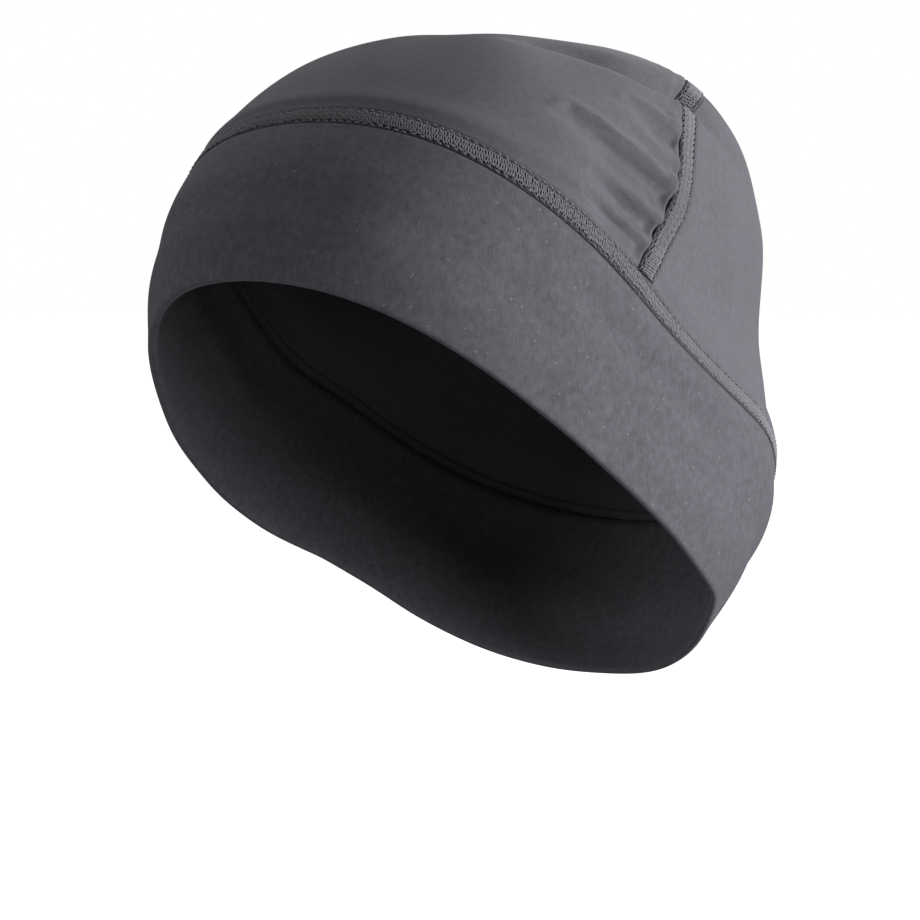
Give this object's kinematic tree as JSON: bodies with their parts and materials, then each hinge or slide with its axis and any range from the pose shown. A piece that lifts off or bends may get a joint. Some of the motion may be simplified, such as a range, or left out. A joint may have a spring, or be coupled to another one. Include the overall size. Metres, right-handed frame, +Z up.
{
  "type": "skull cap liner",
  "caption": "Close-fitting stretch skull cap worn under a helmet: folded band round the head, gathered front crown panel, smooth back panel, flat stitched seams.",
  "frame": {"origin": "where the top of the wearer's head meets the inside of the crown", "axes": "+Z up as worn, -Y towards the wearer's face, +X towards the wearer's left; the cap leans back 12 degrees as in the picture"},
  "size_m": [0.1558, 0.2036, 0.1883],
  "materials": {
    "crown_cloth": "brushed matt",
    "band_cloth": "brushed matt",
    "seam_thread": "matt thread"
  },
  "bodies": {
    "root": {"band": "band_cloth", "crown_front": "crown_cloth", "crown_back": "crown_cloth", "band_seam": "seam_thread", "crown_seam": "seam_thread"}
  },
  "joints": []
}
